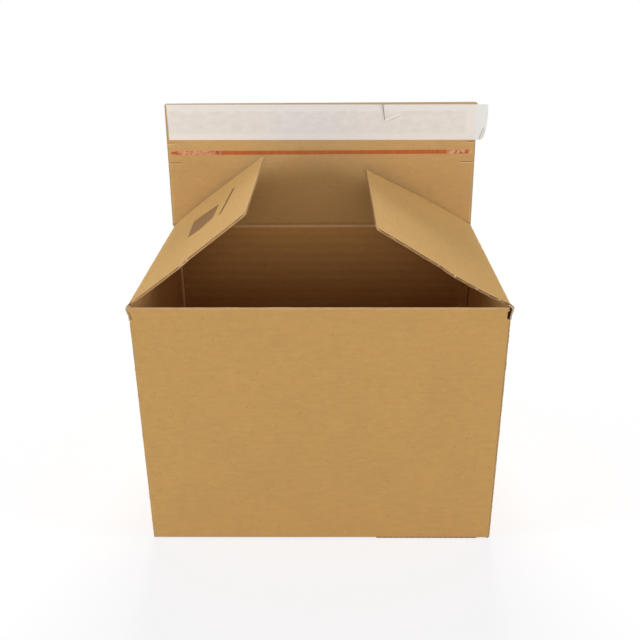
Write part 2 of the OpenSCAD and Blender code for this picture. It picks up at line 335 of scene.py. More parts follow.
def front_fold():
    """Front wall's top, the fold over it and the flap that hangs behind it."""
    rise = stations(SLOT_BOTTOM, CREASE_Z - FOLD_R, 1.2)
    turn = np.radians(np.linspace(180, math.degrees(TUCK_ANGLE), 19))[1:]
    hang = stations(0, LID_LEN - FOLD_R, 4)[1:]
    mid_y, mid_z = FOLD_R - HALF_D, CREASE_Z - FOLD_R
    inner_r, middle_r = FOLD_R - BOARD, FOLD_R - BOARD / 2
    drop = 2.2 * smooth((math.pi * 0.62 - turn) / 1.1) * np.maximum(np.sin(turn), 0)
    angle = np.concatenate([0 * rise + math.pi, turn, 0 * hang + TUCK_ANGLE])[:, None]
    y = mid_y + np.concatenate([0 * rise, 0 * turn, hang * math.sin(TUCK_ANGLE)])[:, None]
    z = np.concatenate([rise, mid_z - drop, mid_z - hang * math.cos(TUCK_ANGLE)])[:, None]
    path = np.concatenate([rise, 0 * turn + mid_z, hang + mid_z])[:, None] + middle_r * (math.pi - angle)
    levels = [SLOT_BOTTOM, CREASE_Z - 3.5, CREASE_Z - 0.6, CREASE_Z + 2.5, CREASE_Z + 7]
    reach = np.interp(path, levels, [152.3, 152.3, 154.5, 152.6, 148.5])
    share = np.concatenate([[-1, -0.997, -0.99], np.linspace(-0.98, 0.98, 80), [0.99, 0.997, 1]])[None, :]
    to_lip = np.maximum(lean(-1, -HALF_D, path) - 0.5, 0) * smooth((CREASE_Z + 2 - path) / 4)
    x = reach * share - (0.9 + to_lip) * np.clip(-share, 0, 1) ** 4
    settle = (0.7 + 0.4 * share) * smooth((path - SLOT_BOTTOM) / 11)
    turned = between(path, CREASE_Z - 3, CREASE_Z + 5, 1.5)
    uneven = turned * (0.05 * waves(x, path, 9, 2) + 0.06 * waves(x, path, 31, 3))
    y = y - 0.25 * (1 - share ** 2) * smooth((CREASE_Z - FOLD_R - path) / 8)
    front = grid(x, y + FOLD_R * np.cos(angle), z + FOLD_R * np.sin(angle) + uneven - settle)
    back = grid(x, y + inner_r * np.cos(angle), z + inner_r * np.sin(angle) + uneven * 0.4 - settle)
    return shell(front, back, x, path)


def corner_lip(side):
    """Raw edge of a side wall beside its front slot. The right one is bent outwards."""
    z = stations(SLOT_BOTTOM - 0.5, CREASE_Z - 0.3, 1)[:, None]
    t = np.linspace(0, 1, 8)[None, :]
    up = smooth((z - SLOT_BOTTOM) / 11)
    y = -HALF_D + FRONT_CUT + 0.4 - (FRONT_CUT + 0.2 - 0.7 * up * (side < 0)) * t
    flare = (1.1 if side > 0 else 0.1) * up * t ** 1.5 + lean(side, y, z)
    crushed = BOARD - (1.35 if side > 0 else 0.9) * smooth(t / 0.25)
    front = grid(side * (HALF_W + flare), y, z)
    back = grid(side * (HALF_W + flare - crushed), y, z)
    s = side * (HALF_W + y + HALF_D)
    return shell(front, back, s, z, (0, 1) if side > 0 else (0, 0.02))


def corner_fray(side):
    """Pale torn fibres along the raw edge of a side wall beside its front slot."""
    z = stations(SLOT_BOTTOM - 0.3, CREASE_Z - 0.5, 0.7)[:, None]
    up = smooth((z - SLOT_BOTTOM) / 11)
    out = (1.1 if side > 0 else 0.1) * up + lean(side, -HALF_D, z)
    torn = 0.25 * waves(z, 0, 3.1, 5)
    x = HALF_W + out - 1.05 + np.array([[0, 0.5, 1.1]]) * (1 + 0.4 * torn)
    y = -HALF_D - 0.05 + 0.7 * up * (side < 0)
    front = grid(side * x, y - 0.25 - 0.5 * torn, z)
    return shell(front, grid(side * x, y + 0.5, z), x, z)


# Base

def sag(x, y):
    """How far the middle of the base hangs down onto the surface."""
    return GLUE_FLAP * between(np.abs(x), -1, 36, 14) * between(np.abs(y), -1, 62, 26)


def base_boards():
    """Two main panels, the tongues that lock them and the glue flaps underneath."""
    shells = []
    for side in (-1, 1):
        x = stations(BOARD - HALF_W, HALF_W - BOARD, 6)[:, None]
        y = stations(1, HALF_D - 1.3, 4)[None, :]
        low = np.maximum(GLUE_FLAP - sag(x, y) + 0.1 * waves(x, y, 80, side), CLEAR)
        top = low + BOARD - 0.9 * smooth((y - HALF_D + 4) / 2.7)
        shells.append(shell(grid(-side * x, -side * y, low), grid(-side * x, -side * y, top), x, -y))
        shells.append(tongue(side))
        shells.append(glue_flap(side))
    return shells


def tongue(side):
    """Locking tongue: it climbs out of its own panel and lies on the other one."""
    y = stations(-14, 28, 2)[:, None]
    t = np.linspace(0, 1, 24)[None, :]
    end = HALF_W - BOARD - 38 - 26 * smooth((y + 14) / 60) - 26 * np.clip((y - 6) / 22, 0, 1) * 0.5
    x = -0.15 - (end - 0.15) * t
    top = FLOOR_Z + (BOARD - 0.1) * smooth((y + 14) / 11) - sag(x, y) + 0.15 * waves(x, y, 60, side)
    low = np.maximum(top - BOARD, CLEAR)
    return shell(grid(side * x, side * y, low), grid(side * x, side * y, top), x, y)


def glue_flap(side):
    """Glue flap under the base, folded in from a side wall."""
    start = HALF_W - 104
    last = HALF_W - BOARD
    x = stations(start, HALF_W, 2.5, last - 10, last, last + 0.05, HALF_W - 0.2, HALF_W - 0.7)[:, None]
    t = np.linspace(0, 1, 40)[None, :]
    near = -HALF_D + 0.9
    first = near + np.where(x <= last, 5.1 * np.clip((x - last + 10) / 10, 0, 1), 0.3)
    final = np.where(x <= last, -HALF_D + 78 + (x - start) * (128 / (last - start)), HALF_D - 9)
    y = first + (final - first) * t
    turned = np.clip(x - HALF_W + 1.3, 0, 1.3)
    low = 1.3 - np.sqrt(1.3 ** 2 - turned ** 2) + CLEAR + 0 * y
    top = GLUE_FLAP + CLEAR + 0 * y
    s = HALF_W + BOX_D / 2 + y
    return shell(grid(side * x, side * y, low), grid(side * x, side * y, top), s, -x)


# Flaps

class Flap:
    """A flap's place, outline and warp. Along runs from its front or left end to the other."""

    def __init__(self, name, x, y, turn, length, ends, taper, tips, bellies, crush,
                 trims=(0, 0), free_crush=0.0):
        joint = next(j for j in frame["record"]["behaviour"]["joints"] if j["child"] == name)
        self.rise = OPEN_LIMIT - joint["range_deg"][1]
        self.place = at_crease(x, y, turn, self.rise)
        self.flat_place = at_crease(x, y, turn, 0)
        self.name, self.length, self.ends, self.taper = name, length, ends, taper
        self.tips, self.bellies, self.trims = tips, bellies, trims
        self.crush, self.free_crush = crush, free_crush
        self.side = {"left_flap": -1, "right_flap": 1, "lid": 0}[name]
        self.sheet_start = self.side * (HALF_W + HALF_D) if self.side else LID_LEFT - HALF_W

    def lean(self, v, drop):
        """How far the wall under the flap leans out, at a drop below the crease."""
        return abs(self.side) * lean(self.side, -self.side * v, CREASE_Z - drop)

    def end(self, which, u):
        """Place along the crease of one end of the flap, at distance u from the crease."""
        inwards = 1 if self.ends[1 - which] > self.ends[which] else -1
        cut = 1.5
        slant = np.interp(u, [0, self.length - cut], [0, self.taper])
        if which == 0 and self.taper:
            slant = np.interp(u, [0, 58, 64, self.length - cut], [0, 0.8, 4.2, self.taper + 0.6])
        corner_cut = cut * np.clip((u - self.length + cut) / cut, 0, 1)
        return self.ends[which] + inwards * (slant + corner_cut)

    def warp(self, u, share):
        """How far the flap stands out of its plane, at a share of the way from end to end."""
        t = u / self.length
        tip = self.tips[0] + (self.tips[1] - self.tips[0]) * share
        belly = self.bellies[0] + (self.bellies[1] - self.bellies[0]) * share
        return tip * t + belly * 6.75 * t * (1 - t) ** 2

    def surface(self, u, share, depth):
        """Points at a depth below the outer face, in the flap's own place."""
        first, last = self.end(0, u), self.end(1, u)
        v = first + (last - first) * share
        width = np.abs(last - first)
        from_ends = (np.maximum(share * width, 0), np.maximum((1 - share) * width, 0))
        thin = sum(crush(u) * np.exp(-(d / 1.1) ** 1.5) for crush, d in zip(self.crush, from_ends))
        thin = thin + self.free_crush * np.exp(-(np.maximum(self.length - u, 0) / 1.2) ** 1.5)
        thick = BOARD * (1 - np.clip(thin, 0, 0.6))
        core = (thick - 2 * PAPER) / (BOARD - 2 * PAPER)
        inner = np.where(depth >= BOARD - PAPER, thick - BOARD + depth, PAPER + (depth - PAPER) * core)
        depth = np.where(depth <= PAPER, depth, inner)
        uneven = 0.12 * waves(u, v, 70, len(self.name)) * smooth((u - 3) / 20)
        uneven = uneven + 0.015 * np.cos(2 * math.pi * (self.length - u) / FLUTE)
        lift = self.warp(u, share) + uneven
        trim = self.trims[0] + (self.trims[1] - self.trims[0]) * share
        reach = u - trim * smooth((u - self.length + 40) / 40)
        out = self.lean(v, 0) * (1 - u / self.length)
        rise = math.radians(self.rise)
        return grid(reach - out * math.cos(rise), v, lift + out * math.sin(rise) - depth), v


def nicks(flap, places):
    """Torn tufts that the die left standing on a flap's front edge."""
    shells = []
    for at, size in places:
        u = at + size * np.linspace(-0.9, 0.9, 5)[:, None]
        out = size * np.linspace(-0.5, 0.8, 5)[None, :]
        middle = 1 - ((u - at) / 1.2 / size) ** 2
        first, last = flap.end(0, u), flap.end(1, u)
        share = -out * middle / np.abs(last - first)
        top, v = flap.surface(u, share, -0.1 + 0.5 * np.maximum(out, 0))
        bottom, _ = flap.surface(u, share, 1.6)
        shells.append(shell(top, bottom, v, u))
    return shells


def fluted_board(flap, breaks=(), share_breaks=(), cut=None):
    """Two facings with the wavy paper between them."""
    u = stations(CREASE, flap.length, FLUTE / 8, flap.length - 1.5, flap.length - 0.7, *breaks)[:, None]
    width = abs(flap.ends[1] - flap.ends[0])
    share = close_set(0, width, 6, share_breaks)[None, :] / width
    wave = np.cos(2 * math.pi * (flap.length - u) / FLUTE) * (BOARD / 2 - PAPER - MEDIUM / 2)
    wave = wave * smooth((u - CREASE) / 4)
    layers = (
        (0, PAPER, (0, 0.02)),
        (BOARD / 2 - wave - MEDIUM / 2, BOARD / 2 - wave + MEDIUM / 2, (0.01, 0.015)),
        (BOARD - PAPER, BOARD, (0.98, 1)),
    )
    keep = None
    if cut is not None:
        keep = ~cut((u[1:] + u[:-1]) / 2, (share[:, 1:] + share[:, :-1]) / 2 * width)
    shells = []
    for upper, lower, depth in layers:
        front, v = flap.surface(u, share, upper)
        back, _ = flap.surface(u, share, lower)
        shells.append(shell(front, back, flap.sheet_start - v, CREASE_Z + u, depth, keep))
    return shells


def crease_strip(flap, kraft, wall_ends, flap_ends, pinch):
    """Scored board that bends between the box and a flap."""
    rise = math.radians(flap.rise)
    t = np.linspace(0, 1, 17)
    start, end = np.array([0, -CREASE]), CREASE * np.array([math.cos(rise), math.sin(rise)])
    hold = 0.78
    curve = bezier(start, start * (1 - hold), end * (1 - hold), end, t)
    tangent = np.gradient(curve, t, axis=0)
    tangent[0], tangent[-1] = (0, 1), end / CREASE
    tangent /= np.linalg.norm(tangent, axis=1)[:, None]
    out = np.stack([-tangent[:, 1], tangent[:, 0]], -1)
    off = np.abs(2 * t - 1)
    thick = pinch + (BOARD - pinch) * off ** 1.6
    share = np.linspace(0, 1, 60)[None, :]
    reach = smooth(2 * t)[:, None]
    first = wall_ends[0] + (flap_ends[0] - wall_ends[0]) * reach
    last = wall_ends[1] + (flap_ends[1] - wall_ends[1]) * reach
    v = first + (last - first) * share
    middle = 1 - off[:, None] ** 2
    uneven = middle * (0.07 * waves(v, t[:, None] * 6, 8, 4) + 0.06 * waves(v, 0, 27, 6))
    lift = flap.warp(CREASE, share) * smooth(2 * t - 1)[:, None]
    lean_out = flap.lean(v, CREASE * (1 - t[:, None])) * (1 - 0.024 * t[:, None])
    h = curve[:, :1] + out[:, :1] * (uneven + lift) - lean_out
    up = curve[:, 1:] + out[:, 1:] * (uneven + lift)
    outer = grid(h, v, up)
    inner = grid(h - out[:, :1] * thick[:, None], v, up - out[:, 1:] * thick[:, None])
    path = CREASE_Z + CREASE * (2 * t - 1)[:, None]
    made = piece(flap.name + "_crease_board", [shell(outer, inner, flap.sheet_start - v, path)],
                 kraft, place=flap.flat_place)
    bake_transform(made)
    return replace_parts(made, "carton", flap.name)


def bezier(a, b, c, d, t):
    """Points of a curve with two guide points."""
    t = t[:, None]
    return (1 - t) ** 3 * a + 3 * (1 - t) ** 2 * t * b + 3 * (1 - t) * t * t * c + t ** 3 * d


# Seal on the lid

def on_lid(flap, u, v, height):
    """Points at a height above the lid's inner face. Past the lid's ends they keep its level."""
    share = (v - flap.ends[0]) / (flap.ends[1] - flap.ends[0])
    inside = np.clip(share, 0.012, 0.988)
    points, _ = flap.surface(u, inside, BOARD)
    return grid(points[..., 0], v, points[..., 2] - height)


def adhesive_band(flap):
    """Hot-melt band under the liner."""
    u = LID_LEN - 7.4 - stations(0, 21.6, 2)[:, None]
    v = stations(10 - HALF_W, HALF_W - 10, 6)[None, :]
    rise = 0.2 + 0.03 * waves(u, v, 12, 1)
    outer, inner = on_lid(flap, u, v, rise), on_lid(flap, u, v, -0.02)
    return shell(outer, inner, flap.sheet_start - v, CREASE_Z + u)


def liner_strip(flap):
    """Release liner with its pull end, a crack and the swell over the adhesive."""
    down = stations(0, LINER_W, 1)[:, None]
    last = np.interp(down, [0, 12, 22, 29, 33, LINER_W], [166, 166.6, 165.4, 164, 162.4, 160.4])
    first = -HALF_W + 1.3 + 1.0 * down / LINER_W
    count, crack_column = 319, 216.35
    near_crack = crack_column + np.array([-0.85, -0.45, -0.08, 0.08, 0.45, 0.85, 2.65])
    columns = stations(0, count, 4, *near_crack, 304, 308, 312, 316)[None, :]
    crack = 61.5 + 2.3 * down / 16
    v = first + columns / count * (last - first)
    pull = between(columns, 215, 217, 6)
    v = v + pull * (crack - (first + crack_column / count * (last - first)))
    margin = 0.7 + 1.5 * (v + HALF_W) / 320
    u = LID_LEN - margin - down
    swell = between(down, 6, 29, 2.5) * between(v, 10 - HALF_W, HALF_W - 10, 3)
    height = 0.08 + 0.2 * swell + 0.05 * waves(u, v, 22, 2) * swell
    beside = np.exp(-np.abs(v - crack - 1) / 3.5) * (v > crack) * np.clip(1 - down / 18, 0, 1)
    fold = np.exp(-np.abs((down - 15) + (v - 65) * 0.42) / 0.8) * between(v, 64, 80, 2)
    free = np.maximum(v - HALF_W, 0)
    curl = 0.05 * free * smooth((down - 18) / 14) + 0.02 * free
    height = height + 1.1 * beside + 0.4 * fold - 0.9 * curl
    keep = np.ones((down.size - 1, columns.size - 1), bool)
    middle = (columns[:, 1:] + columns[:, :-1]) / 2
    keep &= ~((np.abs(middle - crack_column) < 0.05) & (down[1:] < 15.5))
    top = on_lid(flap, u, v, height + 0.22)
    bottom = on_lid(flap, u, v, height)
    return shell(top, bottom, v, down, keep=keep)


def tape_strip(flap):
    """Tear tape, blistered where it has come loose near its ends."""
    v = stations(3 - HALF_W, HALF_W - 3, 1.2)[None, :]
    torn_start = 0.35 + 0.65 * smooth((v + HALF_W - 3) / 6 + 0.15 * waves(v, 0, 3, 1))
    u = TAPE_U + stations(-2, 2, 0.4)[:, None] * torn_start
    across = 1 - ((u - TAPE_U) / 2) ** 2
    loose = between(v, -143, -107, 2) + 0.6 * between(v, 127, 150, 3)
    blister = np.clip(waves(v, u, 7, 2) + 0.3, 0, 1) * loose * across
    height = 0.12 + 0.35 * blister
    return shell(on_lid(flap, u, v, height), on_lid(flap, u, v, -0.02), v, u - TAPE_U)


def lid_slits(u, along):
    """Cells that the short slits beside the tape's ends take out."""
    from_end = np.minimum(along, BOX_W - along)
    cut = False
    for off, reach in SLITS:
        cut = cut | (np.abs(u - TAPE_U - off) < SLIT_HALF) & (from_end < reach)
    return cut


# Print on the left flap

def print_marks(flap):
    """Plain printed patch and bar on the left flap's outer face."""
    patch = four_sided((47.5, 87.9), (44.4, 140.3), (77.3, 131.4), (76.6, 90.4), 14)
    nose = four_sided((47.5, 87.9), (61.9, 88.8), (76.6, 90.4), (61.6, 83.2), 8)
    bar = four_sided((84.7, 80.7), (90.4, 153.6), (93.4, 153.6), (87.7, 80.7), 20)
    shells = []
    for corners in (patch, nose, bar):
        u, along = corners[..., 0], corners[..., 1]
        first, last = flap.end(0, u), flap.end(1, u)
        share = (along - HALF_D - first) / (last - first)
        top, v = flap.surface(u, share, -0.05)
        bottom, _ = flap.surface(u, share, 0.02)
        shells.append(shell(top, bottom, v, u))
    return shells


def four_sided(a, b, c, d, count):
    """Grid of points over a flat shape with four corners."""
    s = np.linspace(0, 1, count)[:, None, None]
    t = np.linspace(0, 1, count)[None, :, None]
    return a * (1 - s) * (1 - t) + b * s * (1 - t) + c * s * t + d * (1 - s) * t


# Materials

def rgb(red, green, blue):
    """Colour as a shader takes it, from screen values of 11 to 255."""
    return tuple(((value / 255 + 0.055) / 1.055) ** 2.4 for value in (red, green, blue)) + (1,)


class Nodes:
    """Short ways to add nodes to a tree."""

    def __init__(self, tree):
        self.tree = tree

    def put(self, socket, value):
        """Sets a socket to a number or colour, or joins it to another node's output."""
        if isinstance(value, bpy.types.NodeSocket):
            self.tree.links.new(value, socket)
        else:
            socket.default_value = value

    def node(self, kind, inputs=(), **settings):
        """Shader node with its settings, and numbers or other nodes' outputs on its inputs."""
        made = self.tree.nodes.new("ShaderNode" + kind)
        for name, value in settings.items():
            setattr(made, name, value)
        for key, value in dict(inputs).items():
            self.put(made.inputs[key], value)
        return made

    def math(self, operation, a, b=0.0, c=0.0):
        return self.node("Math", {0: a, 1: b, 2: c}, operation=operation).outputs[0]

    def times(self, a, b):
        return self.math("MULTIPLY", a, b)

    def minus(self, a, b):
        return self.math("SUBTRACT", a, b)

    def scaled(self, value, factor, offset):
        return self.math("MULTIPLY_ADD", value, factor, offset)

    def apart(self, a, b):
        """How far two values are from each other."""
        return self.math("ABSOLUTE", self.minus(a, b))

    def ramp(self, value, low, high, start=0.0, end=1.0):
        """Soft step from start to end while the value goes from low to high."""
        inputs = {"Value": value, "From Min": low, "From Max": high, "To Min": start, "To Max": end}
        return self.node("MapRange", inputs, interpolation_type="SMOOTHSTEP").outputs[0]

    def fall(self, value, low, high, start=1.0):
        """Soft step from start down to 0 while the value goes from low to high."""
        return self.ramp(value, low, high, start, 0.0)

    def mix(self, amount, a, b):
        """Colour from a to b."""
        return self.node("Mix", {0: amount, 6: a, 7: b}, data_type="RGBA").outputs[2]


class Shading(Nodes):
    """One material and its shader."""

    def __init__(self, name):
        self.material = bpy.data.materials.new(name)
        self.material.use_nodes = True
        super().__init__(self.material.node_tree)
        self.shader = self.tree.nodes["Principled BSDF"]

    def sheet(self):
        """Place on the unfolded board: along, up and through, from 0 at the outer face to 1."""
        place = self.node("Attribute", attribute_name="sheet").outputs["Vector"]
        return self.node("SeparateXYZ", {0: place}).outputs

    def flat_place(self):
        """Place on the unfolded sheet, without its depth."""
        along, up, _ = self.sheet()
        return self.vector(along, up)

    def vector(self, x, y, z=0.0):
        return self.node("CombineXYZ", {0: x, 1: y, 2: z}).outputs[0]

    def noise(self, vector, size, detail=2.0, roughness=0.5):
        """Noise whose features are about size millimetres across."""
        inputs = {"Vector": vector, "Scale": 1 / (size * MM), "Detail": detail, "Roughness": roughness}
        return self.node("TexNoise", inputs).outputs["Fac"]

    def spots(self, vector, size):
        """Distance to scattered points, in shares of their spacing of about size millimetres."""
        inputs = {"Vector": vector, "Scale": 1 / (size * MM)}
        return self.node("TexVoronoi", inputs).outputs["Distance"]

    def brighten(self, colour, factor):
        """Colour times a factor."""
        inputs = {0: colour, "Scale": factor}
        return self.node("VectorMath", inputs, operation="SCALE").outputs[0]

    def look(self, colour, roughness, specular):
        """Sets the shader's colour and how it shines."""
        inputs = self.shader.inputs
        self.put(inputs["Base Color"], colour)
        self.put(inputs["Roughness"], roughness)
        self.put(inputs["Specular IOR Level"], specular)

    def finish(self, colour, height, roughness, specular):
        """Joins the colour and the surface height in millimetres, and gives the material."""
        self.look(colour, roughness, specular)
        bump = self.node("Bump", {"Height": height, "Distance": MM, "Strength": 1.0})
        self.put(self.shader.inputs["Normal"], bump.outputs[0])
        return self.material


def kraft_board():
    """Kraft facing with clouds, fibres and flecks, the layers of board at a raw edge, and painted shade and
    highlights at folds, corners, slot, slits and inside the carton.
    """
    m = Shading("kraft board")
    along, up, through = m.sheet()
    depth = m.times(through, 0.4)
    place = m.vector(along, up, depth)
    fibres = m.vector(m.times(along, 0.45), up, depth)
    streaks = m.vector(m.times(along, 0.12), up, depth)
    mottle = m.noise(fibres, 4.5, 3.0, 0.6)
    grain = m.noise(fibres, 0.9, 2.0, 0.7)
    inside = m.ramp(through, 0.5, 0.6)
    in_carton = m.times(inside, m.fall(up, CREASE_Z * MM - 0.003, CREASE_Z * MM))
    base = m.mix(inside, rgb(207, 165, 102), rgb(207, 167, 111))
    # painted shade: the inner faces below the crease are a slightly darker, redder copy of the inside colour
    base = m.mix(in_carton, base, rgb(204, 157, 98))
    colour = m.brighten(base, paper_shade(m, place, streaks, up, in_carton, mottle, grain))
    colour = flecks(m, colour, place, fibres, along, up)
    colour = fold_painted_highlight_and_shade(m, colour, in_carton, along)
    colour = painted_corner_shade(m, colour, inside, along, up, mottle)
    from_end = m.math("MINIMUM", m.apart(along, LID_LEFT * MM), m.apart(along, LID_RIGHT * MM))
    colour = lid_edges(m, colour, along, up, from_end)
    colour = painted_slot_shade(m, colour, inside, along, up)
    colour = painted_slit_shade_and_highlight(m, colour, inside, up, from_end)
    colour = cut_edges(m, colour, up, through, mottle)
    height = m.scaled(grain, 0.025, m.times(mottle, 0.025))
    flutes = m.math("SINE", m.times(up, 2 * math.pi / (FLUTE * MM)))
    return m.finish(colour, m.scaled(flutes, 0.004, height), roughness=0.86, specular=0.22)


def paper_shade(m, place, streaks, up, in_carton, mottle, grain):
    """Brightness from clouds, mottling, grain and long fibres, with a painted highlight on the ridges and
    painted shade in the hollows over the flutes inside the carton.
    """
    # painted highlight and shade over the washboard ridges, inside the carton only
    from_ridge = m.minus(up, (CREASE_Z - 6.95) * MM)
    ridge = m.math("COSINE", m.times(from_ridge, math.pi / (FLUTE * MM)))
    factors = (
        m.scaled(m.times(ridge, in_carton), 0.035, 1.0),
        m.ramp(mottle, 0.25, 0.75, 0.97, 1.03),
        m.ramp(grain, 0.2, 0.8, 0.965, 1.035),
        m.ramp(m.noise(streaks, 2.6), 0.3, 0.7, 0.988, 1.012),
    )
    shade = m.scaled(m.noise(place, 45), 0.1, 0.95)
    for factor in factors:
        shade = m.times(shade, factor)
    return shade


def flecks(m, colour, place, fibres, along, up):
    """Patches of pale and dark flecks, and a few pale scuffs."""
    here = m.ramp(m.noise(place, 11, 1.0), 0.35, 0.65)
    pale = m.times(here, m.fall(m.spots(fibres, 3.2), 0.10, 0.24, 0.4))
    sparse = m.vector(along, m.times(up, 0.6), 7.0)
    dark = m.times(here, m.fall(m.spots(sparse, 4.3), 0.07, 0.18, 0.38))
    rubbed = m.noise(m.vector(m.times(along, 0.1), up, 3.0), 2.2, 1.0)
    scuffs = m.ramp(rubbed, 0.72, 0.8, 0.0, 0.3)
    colour = m.mix(pale, colour, rgb(222, 187, 132))
    colour = m.mix(dark, colour, rgb(150, 106, 62))
    return m.mix(scuffs, colour, rgb(222, 187, 132))


def fold_painted_highlight_and_shade(m, colour, in_carton, along):
    """Painted highlight over the pressed band inside each upright fold, with a painted shade line at both
    its sides.
    """
    nearest = 1.0
    for fold in (HALF_W + 0.39, 1.16 - HALF_W, LID_LEFT - 1.3, LID_RIGHT + 1.1):
        nearest = m.math("MINIMUM", nearest, m.apart(along, fold * MM))
    # painted highlight on the band and painted shade lines beside it
    band = m.times(in_carton, m.fall(nearest, 0.0021, 0.0025, 0.95))
    colour = m.mix(band, colour, rgb(250, 214, 170))
    line = m.fall(m.apart(nearest, 0.0029), 0.0002, 0.0006, 0.75)
    return m.mix(m.times(in_carton, line), colour, rgb(110, 68, 34))


def painted_corner_shade(m, colour, inside, along, up, mottle):
    """Painted grey shade line down the outside of both front folds, where they turn away from the light,
    stronger on the right.
    """
    right = m.apart(along, (HALF_W + 0.75) * MM)
    left = m.apart(along, (0.8 - HALF_W) * MM)
    line = m.fall(m.math("MINIMUM", left, right), 0.0009, 0.0014)
    line = m.times(line, m.fall(up, (SLOT_BOTTOM - 3) * MM, SLOT_BOTTOM * MM))
    line = m.times(line, m.ramp(along, -0.01, 0.01, 0.38, 0.58))
    line = m.times(line, m.ramp(mottle, 0.35, 0.6, 0.7, 1.1))
    line = m.times(line, m.minus(1.0, inside))
    # painted shade on the corner, broken up by the mottling
    return m.mix(line, colour, rgb(104, 100, 92))


def lid_edges(m, colour, along, up, from_end):
    """Greyer cut edges at the lid's sides and a paler one along its top."""
    above = m.ramp(up, (CREASE_Z + 2) * MM, (CREASE_Z + 3) * MM)
    at_side = m.times(above, m.fall(from_end, 0.0003, 0.001, 0.7))
    colour = m.mix(at_side, colour, rgb(150, 132, 100))
    over_lid = m.fall(along, -HALF_W * MM - 0.22, -HALF_W * MM - 0.21)
    top = (CREASE_Z + LID_LEN) * MM
    at_top = m.times(over_lid, m.ramp(up, top - 0.0012, top - 0.0003, 0.0, 0.75))
    return m.mix(at_top, colour, rgb(196, 184, 152))


def painted_slot_shade(m, colour, inside, along, up):
    """Painted shade on the inner side of the right front slot, standing in for the shadow there."""
    rim = CREASE_Z * MM
    level = m.ramp(up, (SLOT_BOTTOM - 0.5) * MM, SLOT_BOTTOM * MM)
    level = m.times(level, m.fall(up, rim - 0.002, rim - 0.001))
    from_slot = m.apart(m.math("ABSOLUTE", along), (HALF_W + 3.2) * MM)
    dark = m.times(level, m.fall(from_slot, 0.0028, 0.0032, 0.85))
    dark = m.times(dark, m.ramp(along, 0.0, 0.01))
    # painted shade: the slot's inner side is darkened where it would lie in shadow
    return m.mix(m.times(dark, inside), colour, rgb(52, 30, 14))


def painted_slit_shade_and_highlight(m, colour, inside, up, from_end):
    """Painted shadow line along the short slits beside the tape's ends, and a painted highlight on the lip
    just below each.
    """
    for off, reach in SLITS:
        below = m.minus((CREASE_Z + TAPE_U + off) * MM, up)
        near = m.times(inside, m.fall(from_end, (reach - 0.5) * MM, reach * MM))
        dark = m.fall(m.math("ABSOLUTE", below), 0.0002, 0.0005, 0.75)
        light = m.fall(m.apart(below, 0.001), 0.0003, 0.0008, 0.6)
        # painted shadow in the slit, then painted highlight on its lip
        colour = m.mix(m.times(near, dark), colour, rgb(122, 80, 46))
        colour = m.mix(m.times(near, light), colour, rgb(234, 204, 160))
    return colour


def cut_edges(m, colour, up, through, mottle):
    """Worn outer creases and the board's cut edges, with painted shade in the gaps of a raw edge."""
    cut = m.times(m.ramp(through, 0.002, 0.004), m.fall(through, 0.996, 0.998))
    colour = m.mix(m.times(cut, 0.75), colour, rgb(214, 170, 134))
    from_crease = m.apart(up, (CREASE_Z - 0.8) * MM)
    worn = m.times(m.fall(from_crease, 0.0005, 0.0015), m.ramp(mottle, 0.3, 0.6, 0.55, 0.8))
    colour = m.mix(worn, colour, rgb(238, 204, 162))
    edge = m.times(m.ramp(through, 0.03, 0.05), m.fall(through, 0.95, 0.97))
    # painted shade in the raw edge's hollow gaps
    return m.mix(edge, colour, raw_edge_with_gap_shade(m, through, up))


def raw_edge_with_gap_shade(m, through, up):
    """Light facings with the wavy paper between them, and painted shade in the hollow gaps between the
    layers.
    """
    wave = m.math("SINE", m.times(up, 2 * math.pi / (FLUTE * MM)))
    medium = m.fall(m.apart(through, m.scaled(wave, 0.3, 0.5)), 0.05, 0.09)
    facing = m.math("ADD", m.fall(through, 0.13, 0.17), m.ramp(through, 0.83, 0.87))
    return m.mix(m.math("MAXIMUM", medium, facing), rgb(95, 66, 38), rgb(206, 180, 138))


def liner_paper():
    """Satin white paper with faint cloudiness and the adhesive's mottling behind it."""
    m = Shading("liner paper")
    along, down, _ = m.sheet()
    clouds = m.noise(m.vector(along, down), 30, 3.0)
    mottle = m.noise(m.vector(m.times(along, 0.5), down), 5, 3.0, 0.6)
    shifted = m.scaled(m.minus(mottle, 0.5), 0.008, down)
    over_glue = m.times(m.ramp(shifted, 0.005, 0.0085), m.fall(shifted, 0.0265, 0.03))
    band = m.times(over_glue, m.fall(along, 0.141, 0.147))
    paper = m.mix(m.fall(along, 0.1535, 0.1555), rgb(240, 243, 244), rgb(243, 239, 236))
    colour = m.mix(m.times(band, m.ramp(mottle, 0.3, 0.7, 0.3, 0.9)), paper, rgb(232, 227, 223))
    colour = m.brighten(colour, m.scaled(clouds, 0.04, 0.98))
    colour = liner_crack(m, colour, along, down)
    colour = liner_curl_painted_shade(m, colour, along, down)
    return m.finish(colour, m.times(mottle, 0.05), roughness=0.5, specular=0.35)


